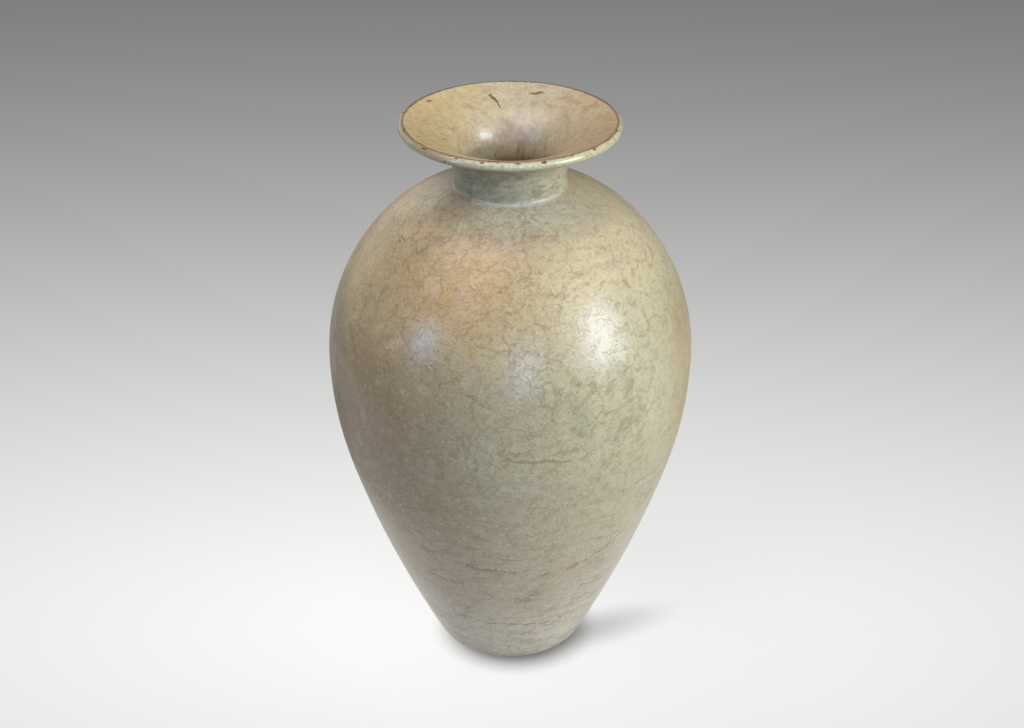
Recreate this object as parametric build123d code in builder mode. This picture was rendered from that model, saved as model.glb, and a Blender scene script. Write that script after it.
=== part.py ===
"""Meiping vase: three thrown clay sections joined with slip, under an outer and an inner glaze."""
from build123d import *
import os
from math import cos, radians, sin, tan

# Finished sizes, in millimetres
height = 360.0
mouth_radius = 66.0
belly_radius = 112.0
neck_radius = 33.9

# Heights of the upper parts, the body joint below the belly, and the bare height of the foot
collar_height = 39.7
shoulder_rise = 109.7
body_joint_drop = 15.6
bare_foot_height = 3.0

# Curves of the clay outline, radii in millimetres and turns in degrees
foot_radius = 42.6
foot_round = 17.4
lower_belly_curve = 242.5
lower_belly_turn = 17.1
upper_belly_curve = 119.4
upper_belly_turn = 43.3
crease_round = 2.0
flare_bend = 22.0
flare_slope = 22.0

# Wall, floor and foot ring
clay_wall = 4.9
glaze_coat = 0.55
floor_thickness = 8.5
floor_round = 12.0
foot_ring_width = 6.5
recess_depth = 2.5
recess_round = 1.2

# Joints between the thrown sections
joint_bevel = 25.0
slip_coat = 0.8

# Levels above the table, worked down from the lip
neck_level = height - collar_height
belly_level = neck_level - shoulder_rise
body_joint_level = belly_level - body_joint_drop

# The clay lies one glaze coat inside the finished surface, and its lip is a full round
clay_belly_radius = belly_radius - glaze_coat
clay_neck_radius = neck_radius - glaze_coat
lip_round = clay_wall / 2
lip_centre_radius = mouth_radius - glaze_coat - lip_round
lip_centre_level = height - glaze_coat - lip_round
slope_across = cos(radians(flare_slope))
slope_up = sin(radians(flare_slope))
lip_underside = (lip_centre_radius + lip_round * slope_up, lip_centre_level - lip_round * slope_across)
flare_corner_level = lip_underside[1] - (lip_underside[0] - clay_neck_radius) * tan(radians(flare_slope))
neck_crease = (clay_neck_radius, neck_level)
flare_corner = (clay_neck_radius, flare_corner_level)
neck_run = flare_corner_level - neck_level - 2 * crease_round
bend_room = 0.9 * neck_run / tan(radians(90 - flare_slope) / 2)

# Clay outline as (radius, level): leaning wall, belly, shoulder, neck and underside of the mouth
with BuildLine() as wall_line:
    lower_belly = JernArc((clay_belly_radius, belly_level), (0, -1), lower_belly_curve, -lower_belly_turn)
    TangentArc(lower_belly @ 1, (foot_radius, 0), tangent=lower_belly % 1)
    upper_belly = JernArc((clay_belly_radius, belly_level), (0, 1), upper_belly_curve, upper_belly_turn)
    TangentArc(upper_belly @ 1, neck_crease, tangent=upper_belly % 1)
    Polyline(neck_crease, flare_corner, lip_underside)
    fillet(wall_line.vertices().sort_by_distance(neck_crease)[0], radius=crease_round)
    fillet(wall_line.vertices().sort_by_distance(flare_corner)[0], radius=min(flare_bend, bend_room))

# Outer face of the clay, from the middle of the base to the crest of the lip
with BuildLine() as outside_line:
    Line((0, 0), (foot_radius, 0))
    add(wall_line.line)
    fillet(outside_line.vertices().sort_by_distance((foot_radius, 0))[0], radius=foot_round)
    CenterArc((lip_centre_radius, lip_centre_level), lip_round, flare_slope - 90, 180 - flare_slope)

# Inner face of the clay, one wall inside the outer face, from the middle of the floor to the crest
with BuildLine() as inner_wall:
    add(wall_line.line)
    offset(amount=clay_wall, side=Side.RIGHT, closed=False)
    split(bisect_by=Plane.ZX.offset(floor_thickness), keep=Keep.TOP)
floor_corner = inner_wall.vertices().sort_by(Axis.Y)[0]
with BuildLine() as inside_line:
    Line((0, floor_thickness), floor_corner)
    add(inner_wall.line)
    fillet(inside_line.vertices().sort_by_distance(floor_corner)[0], radius=floor_round)
    CenterArc((lip_centre_radius, lip_centre_level), lip_round, flare_slope + 90, -flare_slope)

with BuildSketch() as clay_section:
    with BuildLine():
        add(outside_line.line)
        add(inside_line.line)
        Line((0, 0), (0, floor_thickness))
    make_face()


def under_bevel(radius, level):
    """Everything under a joint that slopes down inwards and meets the given radius at the given level."""
    reach = 2 * belly_radius
    drop = tan(radians(joint_bevel))
    with BuildSketch() as under:
        with BuildLine():
            Polyline(
                (-reach, -reach),
                (reach, -reach),
                (reach, level + (reach - radius) * drop),
                (-reach, level - (reach + radius) * drop),
                close=True,
            )
        make_face()
    return under.sketch


under_body_joint = under_bevel(clay_belly_radius, body_joint_level)
over_body_joint = under_bevel(clay_belly_radius, body_joint_level + slip_coat)
under_neck_joint = under_bevel(clay_neck_radius, neck_level)
over_neck_joint = under_bevel(clay_neck_radius, neck_level + slip_coat)

# Lower thrown section, with its turned foot ring
with BuildPart() as lower_body:
    with BuildSketch(Plane.XZ):
        add(clay_section.sketch)
        add(under_body_joint, mode=Mode.INTERSECT)
    revolve(axis=Axis.Z)
    base = lower_body.faces().sort_by(Axis.Z)[0]
    recess_radius = base.edges()[0].radius - foot_ring_width
    with BuildSketch(Plane.XY):
        Circle(recess_radius)
    extrude(amount=recess_depth, mode=Mode.SUBTRACT)
    base_edges = lower_body.edges().filter_by(GeomType.CIRCLE).group_by(Axis.Z)[0]
    fillet(base_edges.sort_by(SortBy.RADIUS)[0], radius=recess_round)

# Slip between the two body sections
with BuildPart() as body_joint_slip:
    with BuildSketch(Plane.XZ):
        add(clay_section.sketch)
        add(over_body_joint, mode=Mode.INTERSECT)
        add(under_body_joint, mode=Mode.SUBTRACT)
    revolve(axis=Axis.Z)

# Upper thrown section, from the belly joint over the shoulder
with BuildPart() as upper_body:
    with BuildSketch(Plane.XZ):
        add(clay_section.sketch)
        add(under_neck_joint, mode=Mode.INTERSECT)
        add(over_body_joint, mode=Mode.SUBTRACT)
    revolve(axis=Axis.Z)

# Slip between the shoulder and the neck
with BuildPart() as neck_joint_slip:
    with BuildSketch(Plane.XZ):
        add(clay_section.sketch)
        add(over_neck_joint, mode=Mode.INTERSECT)
        add(under_neck_joint, mode=Mode.SUBTRACT)
    revolve(axis=Axis.Z)

# Thrown collar, with the neck, the flared mouth and the rolled lip
with BuildPart() as neck_and_lip:
    with BuildSketch(Plane.XZ):
        add(clay_section.sketch)
        add(over_neck_joint, mode=Mode.SUBTRACT)
    revolve(axis=Axis.Z)

# Glaze coat on the outside, from the bare foot to the crest of the lip
with BuildPart() as outer_glaze:
    with BuildSketch(Plane.XZ):
        with BuildLine():
            add(outside_line.line)
            offset(amount=glaze_coat, side=Side.RIGHT, closed=True)
        make_face()
        with Locations((0, bare_foot_height)):
            Rectangle(4 * belly_radius, height, align=(Align.CENTER, Align.MAX), mode=Mode.SUBTRACT)
    revolve(axis=Axis.Z)

# Glaze coat on the inside, from the crest of the lip down over the floor
with BuildPart() as inner_glaze:
    with BuildSketch(Plane.XZ):
        with BuildLine():
            add(inside_line.line)
            offset(amount=glaze_coat, side=Side.LEFT, closed=True)
        make_face()
    revolve(axis=Axis.Z)

pieces = {
    "lower_body": lower_body,
    "body_joint_slip": body_joint_slip,
    "upper_body": upper_body,
    "neck_joint_slip": neck_joint_slip,
    "neck_and_lip": neck_and_lip,
    "outer_glaze": outer_glaze,
    "inner_glaze": inner_glaze,
}

os.makedirs("parts", exist_ok=True)
for name, piece in pieces.items():
    piece.part.label = name
    export_step(piece.part, f"parts/{name}.step")
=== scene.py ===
"""Looks of the meiping vase: its glaze coats, its fired clay and a plain pale studio, in metres."""
from functools import reduce
from operator import mul
import bmesh
import bpy
import numpy as np
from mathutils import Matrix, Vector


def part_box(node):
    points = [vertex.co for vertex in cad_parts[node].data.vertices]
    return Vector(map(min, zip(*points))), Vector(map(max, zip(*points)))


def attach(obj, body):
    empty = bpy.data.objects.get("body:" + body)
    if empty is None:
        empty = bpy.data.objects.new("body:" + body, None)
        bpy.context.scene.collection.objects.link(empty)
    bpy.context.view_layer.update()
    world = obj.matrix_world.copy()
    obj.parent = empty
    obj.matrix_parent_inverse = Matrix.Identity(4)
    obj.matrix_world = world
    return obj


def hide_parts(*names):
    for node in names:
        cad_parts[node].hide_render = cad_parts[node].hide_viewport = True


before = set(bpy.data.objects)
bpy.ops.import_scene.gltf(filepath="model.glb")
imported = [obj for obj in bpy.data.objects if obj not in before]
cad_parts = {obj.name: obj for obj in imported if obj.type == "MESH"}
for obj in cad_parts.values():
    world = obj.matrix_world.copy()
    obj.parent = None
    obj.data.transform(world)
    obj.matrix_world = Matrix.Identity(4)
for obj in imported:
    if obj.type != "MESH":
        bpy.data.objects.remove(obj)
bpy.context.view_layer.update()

MM = 0.001
FLAT_UP = np.pi / 2

# Sizes that the frame gives
glaze_low, glaze_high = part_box("outer_glaze")
collar_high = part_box("neck_and_lip")[1]
HEIGHT = glaze_high.z
BELLY_RADIUS = glaze_high.x
BARE_FOOT = glaze_low.z
GLAZE_COAT = HEIGHT - collar_high.z
CLAY_MOUTH_RADIUS = collar_high.x
FLOOR_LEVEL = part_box("inner_glaze")[0].z

# Curves of the clay outline, as the solids have them
COLLAR_HEIGHT = 39.7 * MM
SHOULDER_RISE = 109.7 * MM
NECK_RADIUS = 33.9 * MM
FOOT_RADIUS = 42.6 * MM
FOOT_ROUND = 17.4 * MM
LOWER_BELLY_CURVE = 242.5 * MM
LOWER_BELLY_TURN = np.radians(17.1)
UPPER_BELLY_CURVE = 119.4 * MM
UPPER_BELLY_TURN = np.radians(43.3)
CREASE_ROUND = 2.0 * MM
FLARE_BEND = 22.0 * MM
FLARE_SLOPE = np.radians(22.0)
CLAY_WALL = 4.9 * MM
FLOOR_ROUND = 12.0 * MM

# Levels and radii that follow from them
NECK_LEVEL = HEIGHT - COLLAR_HEIGHT
BELLY_LEVEL = NECK_LEVEL - SHOULDER_RISE
CLAY_BELLY = BELLY_RADIUS - GLAZE_COAT
CLAY_NECK = NECK_RADIUS - GLAZE_COAT
LIP_ROUND = CLAY_WALL / 2
LIP_CENTRE = np.array([CLAY_MOUTH_RADIUS - LIP_ROUND, HEIGHT - GLAZE_COAT - LIP_ROUND])

# Unevenness and chips of the glaze, as shares of the coat
UNEVEN_SHARE = 0.28
CHIP_SHARE = 0.85

# Share of the edge's round at which the coat starts above the bare foot
EDGE_LEAST = 0.02

# Edge of a chip: how ragged it is, where it lies and how steeply it falls, as shares of the chip's half sizes
CHIP_RAGGED = 0.35
CHIP_EDGE = 1.1
CHIP_SLOPE = 1.6

# Lengths along the line: where the unevenness dies out, the edge at the foot and its wander, and the rim
CALM_REACH = 6 * MM
EDGE_ROUND = 1.4 * MM
FOOT_WANDER = 1.2 * MM
FOOT_WANDER_REACH = 10 * MM
RIM_MIDDLE = 0.2 * MM
RIM_REACH = 8.0 * MM

# Waves: how many, the longest and the shortest, with a seed in front where it doesn't change
COAT_WAVES = (28, 110 * MM, 22 * MM)
CHIP_WAVES = (11, 16, 3 * MM, 1.2 * MM)
FOOT_WAVES = (5, 9, 160 * MM, 30 * MM)
OUTER_SEED = 21
INNER_SEED = 33

# Points on each stretch of the outline, and the lengths of the finely divided parts of the shells
STRETCH_POINTS = 240
FINE_EDGE = 3 * MM
FINE_LIP = 9 * MM

# Points on a ring of each shell
BODY_AROUND = 400
MOUTH_AROUND = 640
INSIDE_AROUND = 320

# Distances under which points are one, meet in a pole or lie on the axis, and the angle of a sharp edge
SAME_POINT = 1e-9
SAME_POLE = 1e-7
ON_AXIS = 1e-6
SHARP_ANGLE = np.radians(50)

# Layout of a shell's map: its margin, the share of the hidden back, and the room for the closing faces
MAP_MARGIN = 0.01
BACK_SHARE = 0.1
CLOSING_ROOM = 1.02

# Chips of the lip: degrees round from the front, place outside the crest, half length and half width in mm
LIP_CHIPS = (
    (-49, 1.5, 2.4, 0.5),
    (-34, 4.4, 0.8, 0.6),
    (-28, 1.3, 1.2, 0.4),
    (-14, 1.5, 1.9, 0.5),
    (4, 1.4, 1.5, 0.4),
    (17.5, 1.6, 1.8, 0.9),
    (33, 0.9, 0.8, 0.4),
    (48, 1.5, 1.0, 0.9),
    (62, 1.0, 0.9, 0.4),
    (75, 1.0, 1.3, 0.6),
    (118, 1.2, 1.6, 0.6),
    (163, 1.5, 1.2, 0.5),
    (-101, 1.3, 1.8, 0.6),
    (-142, 1.1, 1.4, 0.5),
)

# Colours as they look on a screen, 0 to 255
BEIGE = (167, 156, 126)
CREAM = (202, 188, 148)
WARM_BUFF = (190, 165, 122)
SHOULDER_ROSE_AND_PAINTED_LIGHT = (200, 170, 134)
SHOULDER_BUFF = (224, 200, 156)
RIGHT_EDGE_SHADE = (172, 142, 88)
LEFT_EDGE_SHADE = (98, 80, 50)
SHOULDER_SHADE_GREY = (166, 150, 122)
BLUSH = (184, 142, 88)
SHADE_AND_MOTTLE_BROWN = (130, 106, 73)
GREY_GREEN = (152, 148, 122)
PALE_GREEN_AND_PAINTED_LIGHT = (210, 199, 169)
LAVENDER = (172, 156, 147)
OLIVE_TAN = (142, 126, 90)
FLAKE_TAN = (156, 134, 92)
LOW_GREY = (186, 167, 138)
LOW_ROSE = (172, 150, 116)
FOOT_GREY = (214, 202, 176)
LINE_BROWN = (118, 97, 68)
IRON_RED = (126, 94, 78)
FLECK_RED = (168, 102, 82)
PALE_FLECK = (208, 199, 170)
DARK_SPECK = (84, 70, 56)
LIP_PALE = (210, 201, 164)
LIP_SHADE_GREY = (150, 134, 108)
LIP_YELLOW = (196, 184, 136)
LIP_SHADE = (138, 126, 98)
LIP_TAN = (170, 146, 114)
CREASE_HIGHLIGHT = (230, 228, 218)
RIM_BROWN = (128, 94, 66)
RIM_DARK = (88, 70, 54)
CHIP_BROWN = (112, 68, 42)
MOUTH_SHEEN_ROSE = (174, 159, 150)
GOLD_TAN = (190, 165, 118)
ROSE_GREY = (192, 174, 144)
BROWN_TAN = (200, 173, 136)
THROAT_BROWN = (204, 182, 154)
THROAT_SHADOW_OLIVE = (164, 150, 118)
THROAT_SHADE_DARK = (146, 118, 90)
CLAY_BROWN = (136, 98, 68)
SLIP_BROWN = (150, 112, 80)
COOL_WHITE = (230, 242, 255)
SKY_BLUE = (188, 213, 255)
SOFT_WHITE = (255, 253, 249)

# Zones, laid over one another in this order: a colour, its share, and its limits. A limit is an axis, where
# the zone starts along it and where it is full. Axes x, y and z are in millimetres, off crease too. Side is x
# as a share of the radius, rolled is the nearness to the rim, and the others are noise or moved by noise
BODY_ZONES = (
    (LOW_GREY, 1.0, ("drifting z", 15, 95)),
    (BEIGE, 1.0, ("drifting z", 90, 190)),
    (LOW_ROSE, 0.38, ("drifting x", 10, -70)),
    # Brown left side: partly the glaze's own brown, partly painted shade
    (SHADE_AND_MOTTLE_BROWN, 0.85, ("drifting x", -10, -95), ("z", 60, 150), ("z", 300, 225)),
    (WARM_BUFF, 0.9, ("drifting z", 225, 290)),
    (CREAM, 0.85, ("drifting x", -25, 80), ("z", 20, 210)),
)
SHOULDER_ZONES = (
    # Rose of the glaze on the upper left shoulder, partly painted light
    (SHOULDER_ROSE_AND_PAINTED_LIGHT, 0.75, ("z", 296, 316), ("x", 45, -25)),
    (SHOULDER_BUFF, 0.7, ("z", 262, 304), ("x", 5, 60)),
    # Painted shade along the left silhouette
    (LEFT_EDGE_SHADE, 0.85, ("side", -0.84, -0.97), ("z", 50, 120), ("z", 268, 218)),
    # Painted shade along the right silhouette
    (RIGHT_EDGE_SHADE, 0.8, ("side", 0.8, 0.98), ("z", 130, 215), ("z", 280, 238)),
    # Painted shade on the shoulder under the overhanging mouth
    (SHOULDER_SHADE_GREY, 0.6, ("ragged z", 302, 312), ("ragged y", -6, -30), ("x", 50, -35)),
)
CLOUD_ZONES = (
    (GREY_GREEN, 0.35, ("hue", 0.53, 0.72)),
    (LAVENDER, 0.22, ("hue", 0.46, 0.28)),
    (PALE_FLECK, 0.2, ("patchy", 0.5, 0.7)),
    (SHADE_AND_MOTTLE_BROWN, 0.3, ("small", 0.5, 0.3)),
)
COLLAR_ZONES = (
    (LINE_BROWN, 0.4, ("streak", 0.5, 0.62), ("z", 319, 323)),
    (PALE_FLECK, 0.3, ("streak", 0.46, 0.34), ("z", 319, 323)),
    # Painted highlight along the crease at the neck's foot
    (CREASE_HIGHLIGHT, 0.5, ("off crease", 0.8, 0.15), ("y", -12, -30), ("x", -30, 0)),
)
LIP_ZONES = (
    (LIP_PALE, 0.9, ("rolled", 0.05, 0.5)),
    # Painted shade at the lower edge of the lip
    (LIP_SHADE, 0.55, ("blotched", 0.66, 0.32), ("rolled", 0, 0.2)),
    (LIP_TAN, 0.6, ("rolled", 0.72, 0.96)),
    (LIP_YELLOW, 0.5, ("x", 5, 60), ("rolled", 0.1, 0.5)),
    # Painted shade on the left of the lip
    (LIP_SHADE_GREY, 0.8, ("x", 0, -50), ("rolled", 0, 0.3)),
    (OLIVE_TAN, 0.5, ("blotch", 0.48, 0.62), ("rolled", 0.2, 0.6)),
    (LINE_BROWN, 0.4, ("freckle", 0.6, 0.7), ("rolled", 0.15, 0.4), ("rolled", 0.9, 0.5)),
)
MOUTH_ZONES = (
    (ROSE_GREY, 1.0, ("drifting x", -48, 2)),
    (BROWN_TAN, 1.0, ("drifting x", 12, 52)),
)
THROAT_ZONES = (
    (THROAT_BROWN, 0.8, ("patchy z", 340, 326)),
    # Painted shadow of the front wall on the left of the throat
    (THROAT_SHADOW_OLIVE, 0.7, ("z", 336, 331), ("x", 4, -14)),
    # Painted shade deep in the throat on the right
    (THROAT_SHADE_DARK, 0.85, ("z", 329, 322), ("x", -18, 0)),
    (PALE_FLECK, 0.35, ("patchy", 0.5, 0.72)),
    (SHADE_AND_MOTTLE_BROWN, 0.35, ("patchy", 0.48, 0.3)),
)

# Limits of zones that are worked on further: the green under the neck, which is partly painted light, and
# its fringe, the neck, the flaky right side and the matter belt below the belly
GREEN_LIMITS = (("ragged z", 309, 317), ("ragged y", -6, -30), ("torn x", -38, -8))
FRINGE_LIMITS = (("torn z", 302, 311), ("ragged y", -6, -30))
NECK_LIMITS = (("even z", 319.5, 323),)
FLAKY_LIMITS = (("flaky x", -20, 30), ("x", 106, 72), ("z", 130, 200), ("z", 316, 285))
BELT_LIMITS = (("z", 232, 185), ("z", 105, 170))

# Where single limits start and are full: along z, along x and along y, in millimetres
UPPER_RISE = (130, 200)
LOW_END = (190, 130)
RUNS_END = (340, 324)
MOUTH_MARKS_RISE = (335, 345)
FRINGE_SIDE = (-40, 10)
NECK_SIDE = (8, 32)
CALM_SIDE = (10, 60)
FRONT = (0, -10)
BEHIND = (5, 45)

# Level of the crease, in millimetres
CREASE_LINE = 320.4

# Soft spots: a colour, its share, then a centre and a radius in millimetres
BLUSH_SPOTS = ((BLUSH, 0.8, (-32, -74, 290), 52), (BLUSH, 0.3, (-16, -70, 300), 36))
BODY_SPOTS = ((FLAKE_TAN, 0.35, (-74, -38, 284), 46), (LAVENDER, 0.35, (-87, -66, 174), 60))
# A pale spot left of the neck: painted sheen
NECK_SHEEN_SPOTS = ((PALE_FLECK, 0.9, (-45, -10, 315), 24),)
# A rosy grey spot at the back of the mouth: painted sheen
MOUTH_SHEEN_SPOTS = ((MOUTH_SHEEN_ROSE, 0.8, (8, 30, 334), 25),)

# How far noise moves the zones' axes from end to end, in millimetres
BODY_DRIFT = 50
FLAKY_DRIFT = 60
MOUTH_DRIFT = 40
THROAT_DRIFT = 10
TORN_DRIFT = 30
RAGGED_DRIFT = 18
EVEN_DRIFT = 2.4

# Pushes by noise, one after another: the size of the noise and about twice the push, in millimetres
BLUSH_PUSH = ((18, 16),)
HUE_PUSH = ((9, 6),)
CRACKLE_PUSH = ((10, 11), (3, 3.4))
NET_PUSH = ((2, 2),)
FLAKE_PUSH = ((3, 2.4),)
STREAK_PUSH = ((6, 5),)
MARK_PUSH = ((9, 6), (2.5, 2.2))
DASH_PUSH = ((7, 7),)
MOUTH_SHEEN_PUSH = ((8, 10),)
RIPPLE_PUSH = ((4, 4),)
MOUTH_MARK_PUSH = ((2, 1.4),)

# Swells that move a value up and down: the size of the noise in millimetres, its detail and the move
LINE_SWELLS = ((40, 1.0, 34), (7, 3.0, 9))
STRATUM_SWELLS = ((30, 1.0, 30), (8, 3.0, 14))
RIM_SWELLS = ((3, 3.0, 0.12), (24, 1.0, 0.12))
BLOTCH_MOVE = 1.4

# Sizes of the patterns in the glaze and the clay, in millimetres
CLOUD = 45
HUE_CLOUD = 24
PATCH = 13
SMALL_CLOUD = 5
RELIEF = 3.2
DOT = 2.0
GRAIN = 1.5
CRACKLE_CELL = 15
CRACKLE_HILL = 20
CRACKLE_NET = 6
CRACKLE_BREAK = 24
FLAKE = (10, 6, 3.8)
FLAKE_ROW = (38, 19, 15)
COLLAR_STREAK = (9, 9, 2.8)
MARK_BREAK = 4
LINE_STEP = 9.5
LINE_BREAK = 22
STRATUM_STEP = 6
STRATUM_BREAK = 26
DASH = (6, 6, 2.5)
PALE_DOT = (2.6, 2.6, 1.6)
BLOTCH = 3.5
FRECKLE = 1.4
RIM_DOT = 1.7
MOUTH_CLOUD = 22
MOUTH_PATCH = 6
RIPPLE = 7
THROAT_RUN = (1.8, 1.8, 11)
CLAY_CLOUD = 14
CLAY_GRIT = 0.8

# Lean of the flakes
FLAKE_TURN = (0, -np.radians(33), 0)

# Contours in the whole range of the noise
HILL_CONTOURS = 8
RIPPLE_CONTOURS = 6

# How strongly the surfaces bend light
REFRACTION = 1.5

# Depth of the relief
OUTER_DEPTH = 0.16 * MM
INNER_DEPTH = 0.14 * MM
CLAY_DEPTH = 0.15 * MM

# Marks on the front, each a path of (x, z) places in millimetres
IRON_LINES = (
    ((-33.7, 105.8), (-27, 103.6), (-21.5, 102.6), (-12.3, 102.2), (2.9, 100)),
    ((43.5, 75.3), (52, 72.2), (60, 70.6)),
    ((-60, 90), (-52, 85.6), (-43.6, 84.3), (-30, 84.6)),
    ((40, 101), (48, 101.5), (58, 106), (68, 113)),
    ((-34, 47), (-25.5, 48.4), (-14, 45.6), (2, 46.2), (18, 43.8), (31.6, 45.1)),
)
RUN_LINE = ((-3, 194.9), (12, 192.5), (22, 193.5), (34.7, 191.4))
RED_FLECK = ((35.4, 96.6), (41, 98.8))
SPECKS = (
    (-62.7, 300.7),
    (-64.4, 299.4),
    (-61.6, 299.9),
    (-31.5, 299.3),
    (-13.1, 298.7),
    (-36.5, 286.8),
    (-16.3, 73.9),
)

# Half widths of these marks, and the radius of a speck
IRON_HALF = 0.9
RUN_HALF = 1.2
FLECK_HALF = 1.4
SPECK_RADIUS = 1.2

# Marks in the mouth: a half width in millimetres, then a path of (x, y) places
MOUTH_MARKS = (
    (1.0, (-12.3, 50.5), (-9.6, 47.6)),
    (0.8, (-9.6, 47.6), (-7.6, 45)),
    (0.5, (-7.6, 45), (-6.2, 41.2)),
    (0.7, (12.6, 51.6), (19.9, 51.6)),
    (1.2, (15, 51.2), (18, 51.8)),
    (0.9, (-49.1, 33), (-48.3, 33.5)),
    (0.5, (-39.3, -4.2), (-37.1, -1.8)),
    (0.4, (-41, 1), (-38.6, 2.6)),
)

# Floor: half its side, its paint near and far, and how it fades with the distance, which is narrowed along x
FLOOR_HALF = 14.0
FLOOR_NEAR = 0.62
FLOOR_FAR = 0.135
FLOOR_FADE = 0.6
FLOOR_WIDE = 0.46
FLOOR_POWER = 1.5

# The part of the floor's paint that is seen, and the light that stands in for the rest
SEEN_SHARE = 0.4
FLOOR_LIGHT = 0.61
FLOOR_LIGHT_FADE = 2.4
SEEN_RAYS = ("Is Camera Ray", "Is Glossy Ray", "Is Transmission Ray")

# Glow of the floor, its painted shadow ring round the foot and its painted shadow streak beside it
GLOW_NEAR = 0.645
GLOW_FAR = 0.085
GLOW_FADE = 0.64
SHADOW_RING_MIDDLE = (3 * MM, -4 * MM, 0)
SHADOW_RING_START = 28 * MM
SHADOW_RING_FULL = 58 * MM
SHADOW_RING_DIM = 0.9
SHADOW_STREAK_START = (44 * MM, -12 * MM, 0)
SHADOW_STREAK_TURN = np.radians(23)
SHADOW_STREAK_LONG = 88 * MM
SHADOW_STREAK_WIDE = 26 * MM
SHADOW_STREAK_SHADE = 0.42
SHADOW_STREAK_HEAD = (-0.4, 0.05)

# Lamps: the point they face in millimetres, the way to the lamp, its width and height in metres, its watts,
# its colour and what it lights
LAMP_AWAY = 2.2
LAMPS = {
    "right_window": ((51, -86, 263), (0.843, -0.456, 0.286), (1.0, 1.3), 57, COOL_WHITE, "vase_pieces"),
    "left_window": ((-49, -88, 261), (-0.812, -0.518, 0.269), (0.44, 0.7), 13.5, SKY_BLUE, "vase_pieces"),
    "front_window": ((8, -105, 250), (0.154, -0.973, 0.17), (0.36, 0.85), 13.5, SKY_BLUE, "vase_pieces"),
    "mouth_window": ((-14, 28, 341), (0.68, -0.52, 0.52), (1.0, 1.0), 15, COOL_WHITE, "mouth_pieces"),
    "back_window": ((0, 45, 300), (-0.6, 0.75, 0.22), (2.2, 1.6), 9, SOFT_WHITE, "outer_shell"),
    "overhead": ((0, 0, 200), (-0.42, -0.25, 1.0), (1.8, 1.8), 32, SOFT_WHITE, "everything"),
}
ROOM_LIGHT = 0.13

# Camera
CAMERA_PLACE = (1.06 * MM, -1.1027, 0.8012)
CAMERA_PITCH = np.radians(28.724)
CAMERA_LENS = 70.84
CAMERA_SENSOR = 36.0


def linear(colour):
    """Linear light of a screen colour, with an alpha of 1."""
    share = np.array(colour) / 255
    light = np.where(share <= 0.04045, share / 12.92, ((share + 0.055) / 1.055) ** 2.4)
    return (*(float(part) for part in light), 1.0)


def arc(centre, radius, first, last):
    """Points at centre + radius (cos a, sin a), with the angle a from first to last."""
    angle = np.linspace(first, last, STRETCH_POINTS)[:, None]
    return np.asarray(centre) + radius * np.hstack([np.cos(angle), np.sin(angle)])


def on_circle(centre, radius, angle):
    """The point of a circle at an angle."""
    return np.array([centre[0] + radius * np.cos(angle), centre[1] + radius * np.sin(angle)])


def arc_to(start, angle, end):
    """Centre and radius of the arc that leaves start, where its normal has the given angle, and meets end."""
    inward = -np.array([np.cos(angle), np.sin(angle)])
    chord = np.asarray(end) - start
    radius = chord @ chord / (2 * inward @ chord)
    return start + inward * radius, radius


class ProfileLine:
    """A line of (radius, level) points, read by the distance along it from its start."""

    def __init__(self, stretches):
        """Joins named stretches of points end to end and keeps the distance at each one's end."""
        self.ends = {}
        joined = np.empty((0, 2))
        for name, points in stretches.items():
            joined = np.vstack([joined, points])
            self.ends[name] = np.hypot(*np.diff(joined, axis=0).T).sum()
        step = np.hypot(*np.diff(joined, axis=0).T)
        joined = joined[np.r_[True, step > SAME_POINT]]
        self.along = np.r_[0, np.cumsum(np.hypot(*np.diff(joined, axis=0).T))]
        self.points = joined
        rise = np.stack([np.gradient(part, self.along) for part in joined.T], -1)
        rise /= np.hypot(*rise.T)[:, None]
        self.normals = np.stack([rise[:, 1], -rise[:, 0]], -1)
        self.length = self.along[-1]

    def at(self, along):
        """Radius, level and the two parts of the normal at these distances."""
        table = (*self.points.T, *self.normals.T)
        return [np.interp(along, self.along, part) for part in table]


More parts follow.
